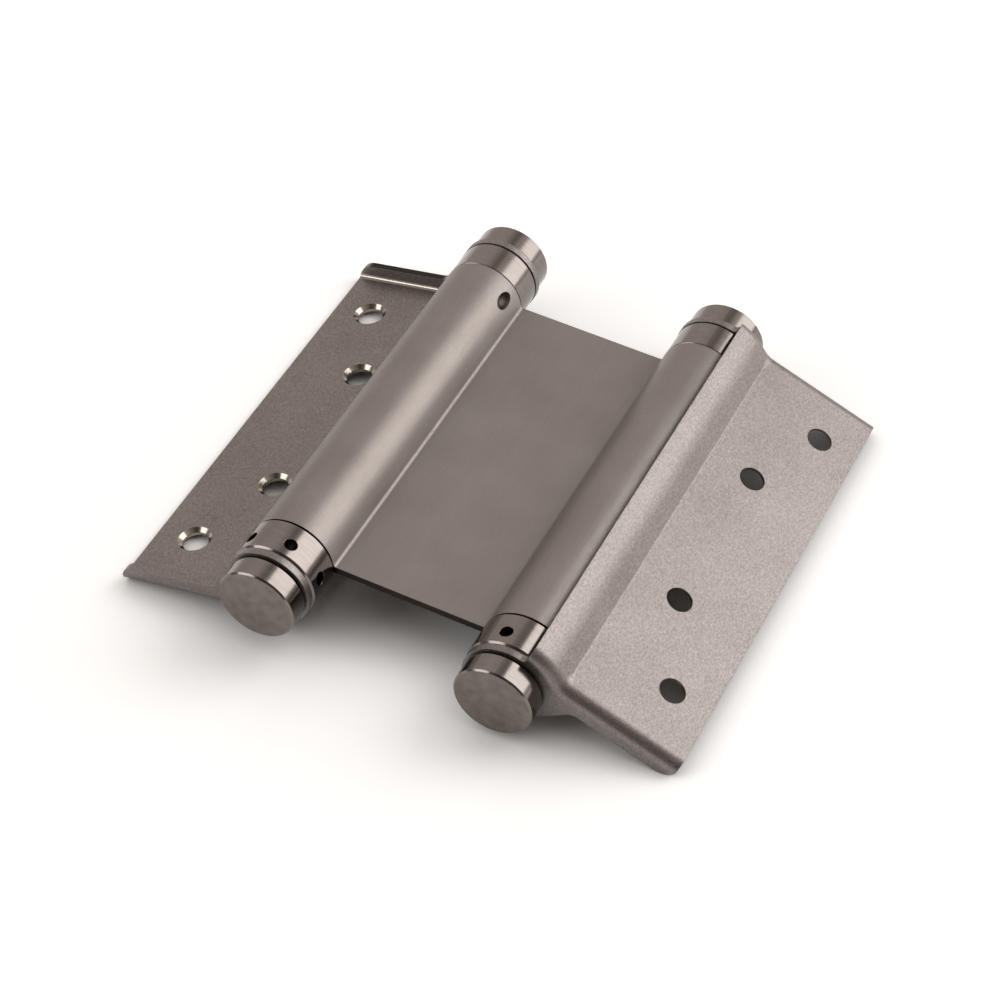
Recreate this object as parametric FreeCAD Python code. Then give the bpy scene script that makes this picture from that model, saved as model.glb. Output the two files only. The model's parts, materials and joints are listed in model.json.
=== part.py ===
import FreeCAD
import Part
import math
import os

# Double action cafe hinge, in millimetres. It lies on a floor at z = 0.
# The barrels run along y. The jamb side is at minus x and the door side at plus x.
# The collars are at the front, toward minus y.

# Sheet metal
SHEET = 1.5
BEND_OUTER = 2.5
BEND_INNER = BEND_OUTER - SHEET

# Centre web and its two rolled barrels
BARREL_SPACING = 50.0
BARREL_LENGTH = 83.4
BARREL_R = 8.7
BARREL_BORE_R = BARREL_R - SHEET
WEB_FILLET = 0.8
ROLL_END_ANGLE = 4.6
CRIMP_FROM_END = 4.7
CRIMP_ANGLE = 40.0
CRIMP_WIDTH = 3.0
CRIMP_LENGTH = 5.0
CRIMP_DEPTH = 1.35

# Leaves
LEAF_WIDTH = 35.4
LEAF_HEIGHT = 8.5
HOOD_R = 12.25
HOOD_FLANK_ANGLE = 58.5
HOOD_CREASE = 0.5
SADDLE_CREASE = 7.0
SADDLE_LENGTH = 5.0
HOOD_EDGE_ANGLE = 85.5
FLANGE_DEPTH = 4.7
FLANGE_CORNER = 3.6
EAR_R = 8.75
EAR_FLANK_ANGLE = -36.0
EAR_BLEND = 2.5
EAR_NOTCH = 1.2
SCREW_HOLE_R = 2.7
COUNTERSINK_R = 3.55
OUTER_ROW_FROM_EDGE = 8.4
OUTER_ROW_HALF = 37.5
INNER_ROW_FROM_EDGE = 16.05
INNER_ROW_HALF = 18.2

# Angle of each leaf from the web as it lies on the floor
DOOR_LEAF_ANGLE = -19.65
JAMB_LEAF_ANGLE = 12.6
FLOOR_SLOPE = 4.3

# Spindles and their caps
SPINDLE_R = 3.0
CAP_R = 8.15
CAP_RIM = 0.35
CAP_NECK_R = 7.2
CAP_NECK = 0.25
FRONT_CAP_HEIGHT = 4.95
REAR_CAP_HEIGHT = 5.25
CAP_SKIN = 1.5

# Tension collars
COLLAR_R = 8.9
COLLAR_LENGTH = 8.2
COLLAR_RIM = 0.45
COLLAR_SPIGOT = 5.0
TOMMY_R = 1.35
TOMMY_DEPTH = 4.2
TOMMY_COUNT = 6
TOMMY_FROM_BARREL = 5.15
JAMB_TOMMY_ANGLE = 75.5
DOOR_TOMMY_ANGLE = 105.3

# Fixed plugs and springs
PLUG_BAND_R = 8.65
PLUG_BAND = 7.1
PLUG_RIM = 0.25
PLUG_BODY = 9.0
PLUG_GROOVE = 1.6
PLUG_GROOVE_WIDTH = 5.6
WIRE_SIDE = 2.0
SPRING_R = 5.05
SPRING_TURNS = 7

# Clearances
TURNING_GAP = 0.15
TURNING_FIT = 0.08
SEATED_GAP = 0.05
SPRING_GAP = 0.4

AXIS = BARREL_SPACING / 2.0
BARREL_END = BARREL_LENGTH / 2.0
CRIMP_Y = BARREL_END - CRIMP_FROM_END
LEAF_FRONT = BARREL_END + TURNING_GAP + COLLAR_LENGTH + TURNING_GAP + SHEET
LEAF_REAR = BARREL_END + SEATED_GAP + PLUG_BAND + TURNING_GAP + SHEET
FRONT_CAP_END = LEAF_FRONT + CAP_NECK + FRONT_CAP_HEIGHT
REAR_CAP_END = LEAF_REAR + CAP_NECK + REAR_CAP_HEIGHT
Y_DIRECTION = FreeCAD.Vector(0, 1, 0)
ORIGIN = FreeCAD.Vector(0, 0, 0)


def point(x, z, y=0.0):
    return FreeCAD.Vector(x, y, z)


def polar(radius, degrees, x=0.0, z=0.0):
    angle = math.radians(degrees)
    return point(x + radius * math.cos(angle), z + radius * math.sin(angle))


def arc(start, middle, end):
    return Part.Arc(start, middle, end).toShape()


def line(start, end):
    return Part.LineSegment(start, end).toShape()


def prism(edges, y_start, y_end):
    # A closed outline in the xz plane, pushed along y
    face = Part.Face(Part.Wire(edges))
    face.translate(point(0, 0, y_start))
    return face.extrude(point(0, 0, y_end - y_start))


def rod(radius, y_start, y_end):
    return Part.makeCylinder(radius, y_end - y_start, point(0, 0, y_start), Y_DIRECTION)


def bevel_rims(shape, size, y_values):
    # Bevels the outer round edges that lie at the given y values
    outer = max(e.Curve.Radius for e in shape.Edges if isinstance(e.Curve, Part.Circle))
    rims = []
    for edge in shape.Edges:
        if isinstance(edge.Curve, Part.Circle) and abs(edge.Curve.Radius - outer) < 1e-6:
            if min(abs(edge.Curve.Center.y - y) for y in y_values) < 1e-6:
                rims.append(edge)
    return shape.makeChamfer(size, rims)


def rolled_side():
    # Half of the web, from the middle out to the door side barrel and round it
    half = SHEET / 2.0
    reach = math.sqrt((BARREL_R + WEB_FILLET) ** 2 - (half + WEB_FILLET) ** 2)
    centre_x = AXIS - reach
    centre_z = half + WEB_FILLET
    meet = 180.0 - math.degrees(math.asin(centre_z / (BARREL_R + WEB_FILLET)))
    bend_end = meet - 180.0
    bend_middle = (bend_end - 90.0) / 2.0
    outer_meet = polar(BARREL_R, meet, AXIS)
    inner_meet = polar(BARREL_BORE_R, meet, AXIS)
    end = ROLL_END_ANGLE - 180.0
    middle = (meet + end) / 2.0
    edges = [
        line(point(0, half), point(centre_x, half)),
        arc(point(centre_x, half), polar(WEB_FILLET, bend_middle, centre_x, centre_z), outer_meet),
        arc(outer_meet, polar(BARREL_R, middle, AXIS), polar(BARREL_R, end, AXIS)),
        line(polar(BARREL_R, end, AXIS), polar(BARREL_BORE_R, end, AXIS)),
        arc(polar(BARREL_BORE_R, end, AXIS), polar(BARREL_BORE_R, middle, AXIS), inner_meet),
        arc(inner_meet, polar(WEB_FILLET + SHEET, bend_middle, centre_x, centre_z), point(centre_x, -half)),
        line(point(centre_x, -half), point(0, -half)),
        line(point(0, -half), point(0, half)),
    ]
    return prism(edges, -BARREL_END, BARREL_END)


def crimp_shape(width, length, depth, base_radius, angle, side):
    # An oval bowl pressed in from a barrel's surface
    bowl = Part.makeSphere(1.0)
    scale = FreeCAD.Matrix()
    scale.scale(width / 2.0, length / 2.0, depth)
    bowl = bowl.transformGeometry(scale)
    bowl.rotate(ORIGIN, Y_DIRECTION, 90.0 - angle)
    centre = polar(base_radius, angle, side * AXIS)
    bowl.translate(point(centre.x, centre.z, CRIMP_Y))
    return bowl


def make_centre_web():
    door_half = rolled_side()
    jamb_half = door_half.mirror(ORIGIN, FreeCAD.Vector(1, 0, 0))
    web = door_half.fuse(jamb_half).removeSplitter()
    for side, angle in ((-1, CRIMP_ANGLE), (1, CRIMP_ANGLE - 180.0)):
        bump = crimp_shape(CRIMP_WIDTH + SHEET, CRIMP_LENGTH + SHEET, CRIMP_DEPTH, BARREL_BORE_R, angle, side)
        web = web.fuse(bump.common(Part.Solid(side_core(side))))
        web = web.cut(crimp_shape(CRIMP_WIDTH, CRIMP_LENGTH, CRIMP_DEPTH, BARREL_R, angle, side))
    return web.Solids[0]


def side_core(side):
    core = rod(BARREL_BORE_R + 0.2, -BARREL_END, BARREL_END)
    core.translate(point(side * AXIS, 0))
    return core


def crease_points(inset, crease):
    # Where a rounded crease starts on the hood's flank, its middle, and where it ends on the plate
    hood = HOOD_R - inset
    top = LEAF_HEIGHT - inset
    radius = crease + inset
    slope = math.radians(HOOD_FLANK_ANGLE)
    corner_x = (hood - top * math.sin(slope)) / math.cos(slope)
    reach = radius * math.tan((math.pi / 2.0 - slope) / 2.0)
    start = point(corner_x - reach * math.sin(slope), top + reach * math.cos(slope))
    middle = polar(radius, (HOOD_FLANK_ANGLE - 270.0) / 2.0, corner_x + reach, top + radius)
    end = point(corner_x + reach, top)
    return start, middle, end


def leaf_outline(inset):
    # The section under one face of the leaf, drawn wider and deeper than the leaf itself
    hood = HOOD_R - inset
    flank_start = polar(hood, HOOD_FLANK_ANGLE)
    crease_start, crease_middle, crease_end = crease_points(inset, HOOD_CREASE)
    wide = LEAF_WIDTH + 5.0
    left = -HOOD_R - 5.0
    low = -HOOD_R - 5.0
    return [
        line(point(left, hood), point(0, hood)),
        arc(point(0, hood), polar(hood, (90.0 + HOOD_FLANK_ANGLE) / 2.0), flank_start),
        line(flank_start, crease_start),
        arc(crease_start, crease_middle, crease_end),
        line(crease_end, point(wide, crease_end.z)),
        line(point(wide, crease_end.z), point(wide, low)),
        line(point(wide, low), point(left, low)),
        line(point(left, low), point(left, hood)),
    ]


def saddle_section(inset, crease, y):
    # The crease's filling at one station, with its two lower sides inside the leaf
    start, middle, end = crease_points(inset, crease)
    foot = point(start.x, end.z - 1.0)
    edges = [line(foot, start), arc(start, middle, end), line(end, foot)]
    for edge in edges:
        edge.translate(point(0, 0, y))
    return Part.Wire(edges)


def rounded_block(inset, radius):
    # The solid under one face of the sheet. Toward its ends the crease opens into a saddle,
    # and the two end edges are rounded.
    front = -LEAF_FRONT + inset
    rear = LEAF_REAR - inset
    block = prism(leaf_outline(inset), front, rear)
    for end, inward in ((front, 1.0), (rear, -1.0)):
        wide = saddle_section(inset, SADDLE_CREASE, end)
        tight = saddle_section(inset, HOOD_CREASE, end + inward * SADDLE_LENGTH)
        block = block.fuse(Part.makeLoft([wide, tight], True, True))
    rims = []
    for edge in block.Edges:
        box = edge.BoundBox
        at_end = box.YLength < 1e-6 and min(abs(box.YMin - front), abs(box.YMin - rear)) < 1e-6
        if at_end and box.ZMin > LEAF_HEIGHT - inset - 1e-4:
            rims.append(edge)
    return block.makeFillet(radius, rims)


def leaf_mask():
    # The leaf seen from its end: flange, ear and hood
    bottom = LEAF_HEIGHT - FLANGE_DEPTH
    edge_x = HOOD_R * math.cos(math.radians(HOOD_EDGE_ANGLE))
    high = HOOD_R + 2.0
    slope = math.radians(EAR_FLANK_ANGLE)
    ear_meet = polar(EAR_R, EAR_FLANK_ANGLE)
    corner_x = (EAR_R - bottom * math.sin(slope)) / math.cos(slope)
    flank_corner = point(corner_x, bottom)
    outer_x = LEAF_WIDTH - FLANGE_CORNER
    outer_z = bottom + FLANGE_CORNER
    corner_middle = polar(FLANGE_CORNER, -45.0, outer_x, outer_z)
    ear_top_angle = math.degrees(math.acos(edge_x / EAR_R))
    ear_top = polar(EAR_R, ear_top_angle)
    ear_middle = polar(EAR_R, (ear_top_angle + EAR_FLANK_ANGLE + 360.0) / 2.0)
    edges = [
        line(point(edge_x, high), point(LEAF_WIDTH, high)),
        line(point(LEAF_WIDTH, high), point(LEAF_WIDTH, outer_z)),
        arc(point(LEAF_WIDTH, outer_z), corner_middle, point(outer_x, bottom)),
        line(point(outer_x, bottom), flank_corner),
        line(flank_corner, ear_meet),
        arc(ear_meet, ear_middle, ear_top),
        line(ear_top, point(edge_x, high)),
    ]
    mask = prism(edges, -LEAF_FRONT - 1.0, LEAF_REAR + 1.0)
    mask = round_corner(mask, ear_top, EAR_NOTCH)
    return round_corner(mask, flank_corner, EAR_BLEND)


def round_corner(shape, corner, radius):
    # Rounds the one long edge that runs along y through the given corner
    found = []
    for edge in shape.Edges:
        box = edge.BoundBox
        if box.YLength > LEAF_FRONT and abs(box.XMin - corner.x) < 1e-6 and abs(box.ZMin - corner.z) < 1e-6:
            found.append(edge)
    return shape.makeFillet(radius, found)


def screw_hole(from_edge, y):
    x = LEAF_WIDTH - from_edge
    bottom = LEAF_HEIGHT - SHEET
    up = FreeCAD.Vector(0, 0, 1)
    hole = Part.makeCylinder(SCREW_HOLE_R, SHEET + 2.0, point(x, bottom - 1.0, y), up)
    depth = COUNTERSINK_R - SCREW_HOLE_R
    sink = Part.makeCone(COUNTERSINK_R + 0.5, SCREW_HOLE_R, depth + 0.5, point(x, bottom - 0.5, y), up)
    return hole.fuse(sink)


def make_leaf():
    # Drawn about its own barrel axis, with the plate lying level above it
    leaf = rounded_block(0.0, BEND_OUTER).cut(rounded_block(SHEET, BEND_INNER))
    leaf = leaf.common(leaf_mask())
    leaf = leaf.cut(rod(SPINDLE_R, -LEAF_FRONT - 1.0, LEAF_REAR + 1.0))
    for from_edge, half in ((OUTER_ROW_FROM_EDGE, OUTER_ROW_HALF), (INNER_ROW_FROM_EDGE, INNER_ROW_HALF)):
        for y in (-half, half):
            leaf = leaf.cut(screw_hole(from_edge, y))
    return leaf.Solids[0]


def make_spindle():
    return rod(SPINDLE_R, -FRONT_CAP_END + CAP_SKIN, REAR_CAP_END - CAP_SKIN)


def make_cap(inner_y, end_y):
    # A round head standing on a short neck, bored for the spindle
    direction = 1.0 if end_y > inner_y else -1.0
    head_y = inner_y + direction * CAP_NECK
    neck = rod(CAP_NECK_R, min(inner_y, head_y), max(inner_y, head_y))
    head = bevel_rims(rod(CAP_R, min(head_y, end_y), max(head_y, end_y)), CAP_RIM, (head_y, end_y))
    bore_end = end_y - direction * CAP_SKIN
    bore = rod(SPINDLE_R, min(inner_y, bore_end), max(inner_y, bore_end))
    return head.fuse(neck).cut(bore).removeSplitter()


def make_collar(first_hole):
    inner_y = -BARREL_END - TURNING_GAP
    outer_y = inner_y - COLLAR_LENGTH
    ring = bevel_rims(rod(COLLAR_R, outer_y, inner_y), COLLAR_RIM, (inner_y, outer_y))
    spigot = rod(BARREL_BORE_R - TURNING_FIT, inner_y, inner_y + COLLAR_SPIGOT)
    collar = ring.fuse(spigot).cut(rod(SPINDLE_R + TURNING_FIT, outer_y, inner_y + COLLAR_SPIGOT))
    for number in range(TOMMY_COUNT):
        angle = math.radians(first_hole + number * 360.0 / TOMMY_COUNT)
        inward = FreeCAD.Vector(-math.cos(angle), 0, -math.sin(angle))
        hole_y = -BARREL_END - TOMMY_FROM_BARREL
        start = FreeCAD.Vector(COLLAR_R * math.cos(angle), hole_y, COLLAR_R * math.sin(angle))
        collar = collar.cut(Part.makeCylinder(TOMMY_R, TOMMY_DEPTH + 1.0, start - inward, inward))
    return collar


def make_plug():
    band_start = BARREL_END + SEATED_GAP
    band_end = band_start + PLUG_BAND
    band = bevel_rims(rod(PLUG_BAND_R, band_start, band_end), PLUG_RIM, (band_start, band_end))
    body = rod(BARREL_BORE_R - SEATED_GAP, BARREL_END - PLUG_BODY, band_start)
    groove_start = CRIMP_Y - PLUG_GROOVE_WIDTH / 2.0 - SHEET / 2.0
    groove_end = CRIMP_Y + PLUG_GROOVE_WIDTH / 2.0 + SHEET / 2.0
    groove = rod(BARREL_BORE_R + 1.0, groove_start, groove_end)
    groove = groove.cut(rod(BARREL_BORE_R - PLUG_GROOVE, groove_start, groove_end))
    bore = rod(SPINDLE_R + TURNING_FIT, BARREL_END - PLUG_BODY, band_end)
    return band.fuse(body).cut(groove).cut(bore).removeSplitter()


def make_spring():
    # A coil of plain square wire from the collar's spigot to the fixed plug
    half = WIRE_SIDE / 2.0
    start = -BARREL_END + COLLAR_SPIGOT + half + SPRING_GAP
    end = BARREL_END - PLUG_BODY - half - SEATED_GAP
    length = end - start
    helix = Part.makeHelix(length / SPRING_TURNS, length, SPRING_R)
    inside = SPRING_R - half
    outside = SPRING_R + half
    corners = [point(inside, -half), point(outside, -half), point(outside, half), point(inside, half)]
    section = Part.makePolygon(corners + corners[:1])
    coil = Part.Wire(helix).makePipeShell([section], True, True)
    coil.rotate(ORIGIN, FreeCAD.Vector(1, 0, 0), -90)
    coil.translate(point(0, 0, start))
    return coil


def lay_on_floor(parts):
    # Tilts the finished hinge so that its lowest edges lie on the floor, then centres it
    for shape in parts.values():
        shape.rotate(ORIGIN, Y_DIRECTION, FLOOR_SLOPE)
    whole = Part.makeCompound(list(parts.values()))
    box = whole.optimalBoundingBox(False, False)
    shift = FreeCAD.Vector(-box.Center.x, -box.Center.y, -box.ZMin)
    for shape in parts.values():
        shape.translate(shift)
    return shift


def side_parts(name, first_hole):
    return {
        name + "_leaf": make_leaf(),
        name + "_spindle": make_spindle(),
        name + "_front_cap": make_cap(-LEAF_FRONT, -FRONT_CAP_END),
        name + "_rear_cap": make_cap(LEAF_REAR, REAR_CAP_END),
        name + "_collar": make_collar(first_hole),
        name + "_plug": make_plug(),
        name + "_spring": make_spring(),
    }


def build():
    parts = {"centre_web": make_centre_web()}
    door = side_parts("door", DOOR_TOMMY_ANGLE)
    door["door_leaf"].rotate(ORIGIN, Y_DIRECTION, -DOOR_LEAF_ANGLE)
    jamb = side_parts("jamb", JAMB_TOMMY_ANGLE)
    jamb["jamb_leaf"].rotate(ORIGIN, Y_DIRECTION, 180.0 - JAMB_LEAF_ANGLE)
    for shape in door.values():
        shape.translate(point(AXIS, 0))
    for shape in jamb.values():
        shape.translate(point(-AXIS, 0))
    parts.update(jamb)
    parts.update(door)
    shift = lay_on_floor(parts)
    return parts, shift


os.makedirs("parts", exist_ok=True)
built, moved = build()
for node, shape in built.items():
    shape.exportStep("parts/" + node + ".step")
print("moved", moved)
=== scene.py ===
import bpy
import json
import math
from mathutils import Matrix, Vector

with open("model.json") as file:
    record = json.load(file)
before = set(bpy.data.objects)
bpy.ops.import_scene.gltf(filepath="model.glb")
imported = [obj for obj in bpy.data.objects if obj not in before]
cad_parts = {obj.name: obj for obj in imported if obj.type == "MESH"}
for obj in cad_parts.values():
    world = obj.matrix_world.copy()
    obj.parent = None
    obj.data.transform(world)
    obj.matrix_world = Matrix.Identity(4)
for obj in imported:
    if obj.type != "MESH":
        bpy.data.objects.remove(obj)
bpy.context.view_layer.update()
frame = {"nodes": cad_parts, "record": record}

# Camera, at the photograph's viewing angle
CAMERA_PLACE = (0.1848, -0.36767, 0.41049)
CAMERA_TARGET = (0.00302, -0.0096, 0.0116)
CAMERA_ROLL = 1.42
CAMERA_LENS = 103.26
SENSOR_WIDTH = 36.0
NEAREST_SEEN = 0.01

# Steel finishes. Each has a colour, the tone that its grain and clouds run to, the clouds' share
# of that, the streaks' stretch and scale, the roughness of its bright and matt specks, and the
# strength of the relief.
WEB_FINISH = {
    "colour": (0.258, 0.233, 0.219, 1.0),
    "tint": (0.218, 0.194, 0.179, 1.0),
    "cloudy": 0.65,
    "stretch": (1.0, 0.03, 1.0),
    "streak_scale": 2600.0,
    "bright": 0.31,
    "matt": 0.56,
    "strength": 0.2,
}
LEAF_FINISH = {
    "colour": (0.295, 0.268, 0.257, 1.0),
    "tint": (0.165, 0.144, 0.135, 1.0),
    "cloudy": 0.22,
    "stretch": (1.0, 0.55, 1.0),
    "streak_scale": 3000.0,
    "bright": 0.34,
    "matt": 0.55,
    "strength": 0.6,
}
TURNED_FINISH = {
    "colour": (0.212, 0.190, 0.179, 1.0),
    "tint": (0.180, 0.158, 0.146, 1.0),
    "cloudy": 0.4,
    "stretch": (0.2, 1.0, 0.2),
    "streak_scale": 1500.0,
    "bright": 0.13,
    "matt": 0.19,
    "strength": 0.08,
}
ROD_FINISH = {
    "colour": (0.27, 0.245, 0.23, 1.0),
    "tint": (0.23, 0.205, 0.19, 1.0),
    "cloudy": 0.4,
    "stretch": (1.0, 0.1, 1.0),
    "streak_scale": 1800.0,
    "bright": 0.2,
    "matt": 0.28,
    "strength": 0.1,
}
WIRE_FINISH = {
    "colour": (0.16, 0.15, 0.14, 1.0),
    "tint": (0.11, 0.10, 0.095, 1.0),
    "cloudy": 0.4,
    "stretch": (1.0, 1.0, 1.0),
    "streak_scale": 900.0,
    "bright": 0.35,
    "matt": 0.5,
    "strength": 0.2,
}

# Noise: streaks and clouds, and specks too fine to see one by one
NOT_STRETCHED = (1.0, 1.0, 1.0)
STREAK_DETAIL = 3.0
CLOUD_SCALE = 80.0
CLOUD_DETAIL = 3.0
NOISE_SPAN = (0.3, 0.7)
SPECK_SCALE = 9000.0
SPECK_DETAIL = 0.0
SPECK_SPAN = (0.42, 0.58)

# Depth of the grain, and the rounding that the light finds on sharp edges
RELIEF = 0.00002
EDGE_ROUNDING = 0.0002
EDGE_SAMPLES = 4

# The direction of the barrels, and how far brushing along them spreads the shine
LENGTHWISE = (0.0, 1.0, 0.0)
WEB_SPREAD = 0.7

# Painted shade on the sheared edges: its near-black colour, where the edges lie measured from the
# leaf's outer face, and how squarely they look their way
SHADED_EDGE_COLOUR = (0.030, 0.024, 0.020, 1.0)
CUT_DEPTH = 0.0047
CUT_HALF = 0.0003
CUT_FACING = (0.95, 0.99)
REAR_START = (0.0, 0.01)

# Polished countersinks and bends
POLISHED_COLOUR = (0.34, 0.31, 0.27, 1.0)
SINK_ROUGHNESS = 0.15
SINK_RADIUS = 0.0037
SINK_FACING = (0.9, 0.95)
BEND_ROUGHNESS = 0.12
BEND_FACING = (0.2, 0.92)
BEND_BLUR = 0.06
BEND_SIDEWAYS = (0.2, 0.3)
FOLD_START = 0.045

# Painted shade in the crimps pressed into the barrels: its colour, where the crimps lie and how
# near the axis the shade reaches
CRIMP_SHADE_COLOUR = (0.075, 0.062, 0.054, 1.0)
CRIMP_START = 0.0345
CRIMP_END = 0.0405
PRESSED_IN = 0.0084
PRESSED_BLUR = 0.0004

# Widths over which the masks fade
SHARP = 0.0001
SOFT = 0.0005

# End faces of the turned pieces: darker colours that paint shade on them, with scuffs running
# between the two, and their roughness
SHADED_FACE_COLOUR = (0.200, 0.176, 0.158, 1.0)
SHADED_FACE_TINT = (0.150, 0.129, 0.113, 1.0)
FACE_ROUGHNESS = 0.24
FACE_FACING = (0.97, 0.99)
SCUFF_SCALE = 500.0
SCUFF_DETAIL = 6.0

# Floor of white paper, the glow that makes it white, and how near the object that glow fades into
# painted shadow
FLOOR_SIZE = 8.0
FLOOR_COLOUR = (0.93, 0.93, 0.93, 1.0)
FLOOR_ROUGHNESS = 0.9
FLOOR_GLOW = 0.30
GLOW_COLOUR = (1.0, 1.0, 1.0, 1.0)
GLOW_REACH = 0.03
GLOW_START = 0.3
GLOW_SAMPLES = 12

# Room: its tones from front to back, and its levels from left to right
WORLD_FRONT = (0.18, 0.16, 0.14, 1.0)
WORLD_BACK = (0.86, 0.79, 0.74, 1.0)
WORLD_DEPTH = (-0.6, 0.3)
WORLD_LEVELS = ((-0.85, 0.85), (-0.50, 1.12), (-0.22, 1.0), (-0.03, 0.5), (0.09, 0.5), (0.16, 1.0))

# Lamps
KEY_PLACE = (0.470, 0.410, 0.419)
KEY_SIZE = (0.50, 0.70)
KEY_POWER = 3.0
SIDE_PLACE = (-0.819, -0.687, 0.545)
SIDE_SIZE = (0.9, 0.45)
SIDE_POWER = 4.0

# A mix node's sockets: its two inputs and its result, for a colour and for a number
COLOUR_SOCKETS = (6, 7, 2)
NUMBER_SOCKETS = (2, 3, 0)


def node(tree, kind, **settings):
    made = tree.nodes.new(kind)
    for name, value in settings.items():
        setattr(made, name, value)
    return made


def own_place(tree):
    return node(tree, "ShaderNodeTexCoord").outputs["Object"]


def grain(tree, stretch, scale, detail):
    # Noise in the part's own place, stretched along the direction of brushing
    mapping = node(tree, "ShaderNodeMapping")
    mapping.inputs["Scale"].default_value = stretch
    tree.links.new(own_place(tree), mapping.inputs["Vector"])
    noise = node(tree, "ShaderNodeTexNoise")
    noise.inputs["Scale"].default_value = scale
    noise.inputs["Detail"].default_value = detail
    tree.links.new(mapping.outputs["Vector"], noise.inputs["Vector"])
    return noise.outputs["Fac"]


def ranged(tree, source, span, out_low, out_high):
    scaled = node(tree, "ShaderNodeMapRange")
    scaled.inputs["From Min"].default_value = span[0]
    scaled.inputs["From Max"].default_value = span[1]
    scaled.inputs["To Min"].default_value = out_low
    scaled.inputs["To Max"].default_value = out_high
    tree.links.new(source, scaled.inputs["Value"])
    return scaled.outputs["Result"]


def rising(tree, source, span):
    return ranged(tree, source, span, 0.0, 1.0)


def falling(tree, source, span):
    return ranged(tree, source, span, 1.0, 0.0)


def combined(tree, operation, first, second):
    result = node(tree, "ShaderNodeMath", operation=operation)
    tree.links.new(first, result.inputs[0])
    tree.links.new(second, result.inputs[1])
    return result.outputs[0]


def both_of(tree, first, second):
    return combined(tree, "MULTIPLY", first, second)


def most_of(tree, first, second):
    return combined(tree, "MAXIMUM", first, second)


def size_of(tree, value):
    absolute = node(tree, "ShaderNodeMath", operation="ABSOLUTE")
    tree.links.new(value, absolute.inputs[0])
    return absolute.outputs[0]


def between(tree, value, low, high, blur):
    # 1 from low to high, fading out on both sides
    risen = rising(tree, value, (low - blur, low))
    fallen = falling(tree, value, (high, high + blur))
    return both_of(tree, risen, fallen)


def along(tree, vector, direction):
    # How far a place or a normal reaches along a fixed direction
    product = node(tree, "ShaderNodeVectorMath", operation="DOT_PRODUCT")
    product.inputs[1].default_value = direction
    tree.links.new(vector, product.inputs[0])
    return product.outputs["Value"]


def distance(tree, place, centre):
    apart = node(tree, "ShaderNodeVectorMath", operation="DISTANCE")
    apart.inputs[1].default_value = centre
    tree.links.new(place, apart.inputs[0])
    return apart.outputs["Value"]


def from_axis(tree, place, axis):
    # Distance from a line along y
    flat = node(tree, "ShaderNodeVectorMath", operation="MULTIPLY")
    flat.inputs[1].default_value = (1.0, 0.0, 1.0)
    tree.links.new(place, flat.inputs[0])
    return distance(tree, flat.outputs["Vector"], (axis[0], 0.0, axis[2]))


def own_normal(tree):
    # The way a face looks in the part's own frame, which is the same at every pose
    surface = node(tree, "ShaderNodeNewGeometry")
    turned = node(tree, "ShaderNodeVectorTransform", vector_type="NORMAL")
    turned.convert_from = "WORLD"
    turned.convert_to = "OBJECT"
    tree.links.new(surface.outputs["True Normal"], turned.inputs["Vector"])
    return turned.outputs["Vector"]


def tinted(tree, source, first, second):
    mix = node(tree, "ShaderNodeMix", data_type="RGBA")
    start, end, result = COLOUR_SOCKETS
    mix.inputs[start].default_value = first
    mix.inputs[end].default_value = second
    tree.links.new(source, mix.inputs["Factor"])
    return mix.outputs[result]


def masked(tree, socket, mask, value):
    # Turns a shader's linked colour or roughness to another one where the mask is 1
    coloured = socket.type == "RGBA"
    mix = node(tree, "ShaderNodeMix", data_type="RGBA" if coloured else "FLOAT")
    start, end, result = COLOUR_SOCKETS if coloured else NUMBER_SOCKETS
    plain = socket.links[0].from_socket
    if isinstance(value, bpy.types.NodeSocket):
        tree.links.new(value, mix.inputs[end])
    else:
        mix.inputs[end].default_value = value
    tree.links.new(plain, mix.inputs[start])
    tree.links.new(mask, mix.inputs["Factor"])
    tree.links.new(mix.outputs[result], socket)


def new_material(name):
    material = bpy.data.materials.new(name)
    material.use_nodes = True
    tree = material.node_tree
    return material, tree, tree.nodes["Principled BSDF"]


def steel(name, colour, tint, cloudy, stretch, streak_scale, bright, matt, strength):
    material, tree, shader = new_material(name)
    shader.inputs["Metallic"].default_value = 1.0
    streaks = grain(tree, stretch, streak_scale, STREAK_DETAIL)
    clouds = grain(tree, NOT_STRETCHED, CLOUD_SCALE, CLOUD_DETAIL)
    from_streaks = ranged(tree, streaks, NOISE_SPAN, 0.0, 1.0 - cloudy)
    from_clouds = ranged(tree, clouds, NOISE_SPAN, 0.0, cloudy)
    tone = combined(tree, "ADD", from_streaks, from_clouds)
    tree.links.new(tinted(tree, tone, colour, tint), shader.inputs["Base Color"])
    specks = grain(tree, NOT_STRETCHED, SPECK_SCALE, SPECK_DETAIL)
    tree.links.new(ranged(tree, specks, SPECK_SPAN, bright, matt), shader.inputs["Roughness"])
    rounding = node(tree, "ShaderNodeBevel", samples=EDGE_SAMPLES)
    rounding.inputs["Radius"].default_value = EDGE_ROUNDING
    relief = node(tree, "ShaderNodeBump")
    tree.links.new(rounding.outputs["Normal"], relief.inputs["Normal"])
    relief.inputs["Strength"].default_value = strength
    relief.inputs["Distance"].default_value = RELIEF
    tree.links.new(streaks, relief.inputs["Height"])
    tree.links.new(relief.outputs["Normal"], shader.inputs["Normal"])
    return material, tree, shader


def spread_shine(tree, shader, amount):
    # Brushing along the barrels spreads the shine across it
    surface = node(tree, "ShaderNodeNewGeometry")
    cross = node(tree, "ShaderNodeVectorMath", operation="CROSS_PRODUCT")
    cross.inputs[0].default_value = LENGTHWISE
    tree.links.new(surface.outputs["Normal"], cross.inputs[1])
    tree.links.new(cross.outputs["Vector"], shader.inputs["Tangent"])
    shader.inputs["Anisotropic"].default_value = amount


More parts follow.
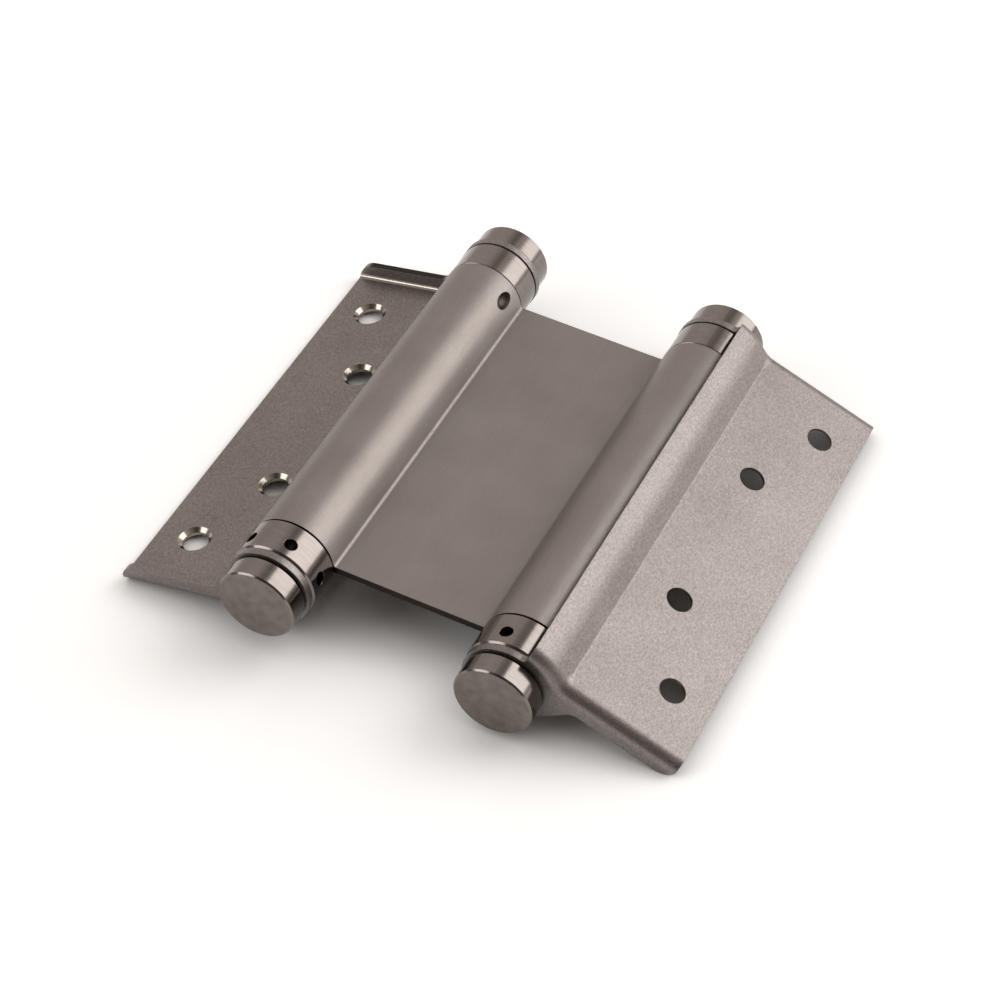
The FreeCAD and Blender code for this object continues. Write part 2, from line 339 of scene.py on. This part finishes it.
def paint_crimp_shade(tree, shader):
    # Painted shade in the crimps, which are the places pressed in below a barrel's surface
    place = own_place(tree)
    rows = between(tree, along(tree, place, LENGTHWISE), CRIMP_START, CRIMP_END, SOFT)
    for side in ("jamb", "door"):
        reach = from_axis(tree, place, joint(side + "_leaf_hinge")["pos_m"])
        inside = falling(tree, reach, (PRESSED_IN - PRESSED_BLUR, PRESSED_IN))
        masked(tree, shader.inputs["Base Color"], both_of(tree, rows, inside), CRIMP_SHADE_COLOUR)


def web_steel():
    # The sheared ends of the web's sheet, which face along y, get painted shade in a near-black
    # colour
    material, tree, shader = steel("web_steel", **WEB_FINISH)
    facing = size_of(tree, along(tree, own_normal(tree), LENGTHWISE))
    masked(tree, shader.inputs["Base Color"], rising(tree, facing, CUT_FACING), SHADED_EDGE_COLOUR)
    paint_crimp_shade(tree, shader)
    spread_shine(tree, shader, WEB_SPREAD)
    return material


def shaded_edge_mask(tree, place, facing, out, level):
    # Where painted shade goes: the sheared edge of the fold at the rear
    middle = level - CUT_DEPTH
    strip = between(tree, along(tree, place, out), middle - CUT_HALF, middle + CUT_HALF, SHARP)
    edge = both_of(tree, strip, rising(tree, facing, CUT_FACING))
    return both_of(tree, edge, rising(tree, along(tree, place, LENGTHWISE), REAR_START))


def sink_mask(tree, place, facing, side):
    # The slopes round the four holes
    sink = None
    for centre in hole_centres(side):
        near = falling(tree, distance(tree, place, centre), (SINK_RADIUS, SINK_RADIUS + SHARP))
        sink = near if sink is None else most_of(tree, sink, near)
    return both_of(tree, sink, falling(tree, facing, SINK_FACING))


def bend_mask(tree, place, normal, out):
    # The inside of the bends that lead to the folds at both ends
    reach = size_of(tree, along(tree, place, LENGTHWISE))
    ends = rising(tree, reach, (FOLD_START, FOLD_START + SOFT))
    sideways = size_of(tree, along(tree, normal, LENGTHWISE))
    folds = both_of(tree, ends, rising(tree, sideways, BEND_SIDEWAYS))
    back = along(tree, normal, -out)
    return both_of(tree, folds, between(tree, back, BEND_FACING[0], BEND_FACING[1], BEND_BLUR))


def polish(tree, shader, mask, roughness):
    masked(tree, shader.inputs["Roughness"], mask, roughness)
    masked(tree, shader.inputs["Base Color"], mask, POLISHED_COLOUR)


def leaf_steel(side):
    # Satin plate, with painted shade on the sheared edge of its rear fold, polished countersinks
    # and bends
    material, tree, shader = steel(side + "_leaf_steel", **LEAF_FINISH)
    face = mount(side + "_face")
    out = Vector(face["axis"])
    level = out.dot(Vector(face["pos_m"]))
    place = own_place(tree)
    normal = own_normal(tree)
    facing = size_of(tree, along(tree, normal, out))
    edge = shaded_edge_mask(tree, place, facing, out, level)
    # Painted shade: the rear fold's sheared edge turns near black
    masked(tree, shader.inputs["Base Color"], edge, SHADED_EDGE_COLOUR)
    polish(tree, shader, sink_mask(tree, place, facing, side), SINK_ROUGHNESS)
    polish(tree, shader, bend_mask(tree, place, normal, out), BEND_ROUGHNESS)
    return material


def turned_steel():
    # Bright turned rounds, with end faces dulled, darkened by painted shade and scuffed
    material, tree, shader = steel("turned_steel", **TURNED_FINISH)
    facing = size_of(tree, along(tree, own_normal(tree), LENGTHWISE))
    face = rising(tree, facing, FACE_FACING)
    scuffs = rising(tree, grain(tree, NOT_STRETCHED, SCUFF_SCALE, SCUFF_DETAIL), NOISE_SPAN)
    # Painted shade on the end faces, with random scuffs between the two colours
    masked(tree, shader.inputs["Base Color"], face, tinted(tree, scuffs, SHADED_FACE_COLOUR, SHADED_FACE_TINT))
    masked(tree, shader.inputs["Roughness"], face, FACE_ROUGHNESS)
    return material


def rod_steel():
    return steel("rod_steel", **ROD_FINISH)[0]


def wire_steel():
    return steel("wire_steel", **WIRE_FINISH)[0]


def named(entries, name):
    for entry in entries:
        if entry["name"] == name:
            return entry
    raise KeyError(name)


def mount(name):
    return named(frame["record"]["mounts"], name)


def joint(name):
    return named(frame["record"]["behaviour"]["joints"], name)


def hole_centres(side):
    centres = []
    for row in ("_outer_screws", "_inner_screws"):
        screws = mount(side + row)
        half = Vector((0.0, screws["dims"]["pcd_mm"] / 2000.0, 0.0))
        centres.append(Vector(screws["pos_m"]) + half)
        centres.append(Vector(screws["pos_m"]) - half)
    return centres


def finish_of(name):
    if name == "centre_web":
        return "web"
    for ending in ("jamb_leaf", "door_leaf", "spindle", "spring"):
        if name.endswith(ending):
            return ending
    return "turned"


def dress():
    made = {
        "web": web_steel(),
        "jamb_leaf": leaf_steel("jamb"),
        "door_leaf": leaf_steel("door"),
        "turned": turned_steel(),
        "spindle": rod_steel(),
        "spring": wire_steel(),
    }
    for name, part in frame["nodes"].items():
        part.data.materials.clear()
        part.data.materials.append(made[finish_of(name)])


def floor_paint():
    # White paper. What looks at it straight or in a mirror also sees the glow that makes it white.
    material, tree, shader = new_material("floor_white")
    shader.inputs["Base Color"].default_value = FLOOR_COLOUR
    shader.inputs["Roughness"].default_value = FLOOR_ROUGHNESS
    shader.inputs["Specular IOR Level"].default_value = 0.0
    path = node(tree, "ShaderNodeLightPath")
    seen = most_of(tree, path.outputs["Is Camera Ray"], path.outputs["Is Glossy Ray"])
    seen = most_of(tree, seen, path.outputs["Is Transmission Ray"])
    # The glow fades out where the object covers the floor, painting shadow under and beside it
    cover = node(tree, "ShaderNodeAmbientOcclusion", samples=GLOW_SAMPLES)
    cover.inputs["Distance"].default_value = GLOW_REACH
    open_floor = ranged(tree, cover.outputs["AO"], (GLOW_START, 1.0), 0.0, FLOOR_GLOW)
    shader.inputs["Emission Color"].default_value = GLOW_COLOUR
    tree.links.new(both_of(tree, seen, open_floor), shader.inputs["Emission Strength"])
    return material


def add_floor():
    bpy.ops.mesh.primitive_plane_add(size=FLOOR_SIZE, location=(0.0, 0.0, 0.0))
    floor = bpy.context.object
    floor.name = "floor"
    floor.data.materials.append(floor_paint())


def room_levels(tree, across):
    # The room's brightness from left to right, with a dark strip beside the key lamp
    ramp = node(tree, "ShaderNodeValToRGB")
    stops = ramp.color_ramp.elements
    while len(stops) < len(WORLD_LEVELS):
        stops.new(1.0)
    for stop, (place, level) in zip(stops, WORLD_LEVELS):
        stop.position = (place + 1.0) / 2.0
        stop.color = (level, level, level, 1.0)
    tree.links.new(rising(tree, across, (-1.0, 1.0)), ramp.inputs["Fac"])
    return ramp.outputs["Color"]


def add_world():
    # A plain room, paler at the back than at the front
    world = bpy.data.worlds.new("studio")
    bpy.context.scene.world = world
    world.use_nodes = True
    tree = world.node_tree
    room = tree.nodes["Background"]
    split = node(tree, "ShaderNodeSeparateXYZ")
    place = node(tree, "ShaderNodeTexCoord")
    tree.links.new(place.outputs["Generated"], split.inputs["Vector"])
    depth = rising(tree, split.outputs["Y"], WORLD_DEPTH)
    tree.links.new(tinted(tree, depth, WORLD_FRONT, WORLD_BACK), room.inputs["Color"])
    tree.links.new(room_levels(tree, split.outputs["X"]), room.inputs["Strength"])


def add_lamp(name, place, size, power):
    lamp = bpy.data.lights.new(name, "AREA")
    lamp.shape = "RECTANGLE"
    lamp.size = size[0]
    lamp.size_y = size[1]
    lamp.energy = power
    holder = bpy.data.objects.new(name, lamp)
    bpy.context.scene.collection.objects.link(holder)
    holder.location = place
    holder.rotation_euler = (-Vector(place)).to_track_quat("-Z", "Y").to_euler()


def add_camera():
    lens = bpy.data.cameras.new("camera")
    lens.lens = CAMERA_LENS
    lens.sensor_width = SENSOR_WIDTH
    lens.clip_start = NEAREST_SEEN
    holder = bpy.data.objects.new("camera", lens)
    bpy.context.scene.collection.objects.link(holder)
    holder.location = CAMERA_PLACE
    look = (Vector(CAMERA_TARGET) - Vector(CAMERA_PLACE)).to_track_quat("-Z", "Y")
    roll = Matrix.Rotation(math.radians(-CAMERA_ROLL), 4, Vector((0.0, 0.0, 1.0)))
    holder.rotation_euler = (look.to_matrix().to_4x4() @ roll).to_euler()
    bpy.context.scene.camera = holder


dress()
add_floor()
add_world()
add_lamp("key", KEY_PLACE, KEY_SIZE, KEY_POWER)
add_lamp("side", SIDE_PLACE, SIDE_SIZE, SIDE_POWER)
add_camera()
bpy.context.scene.view_settings.view_transform = "Standard"
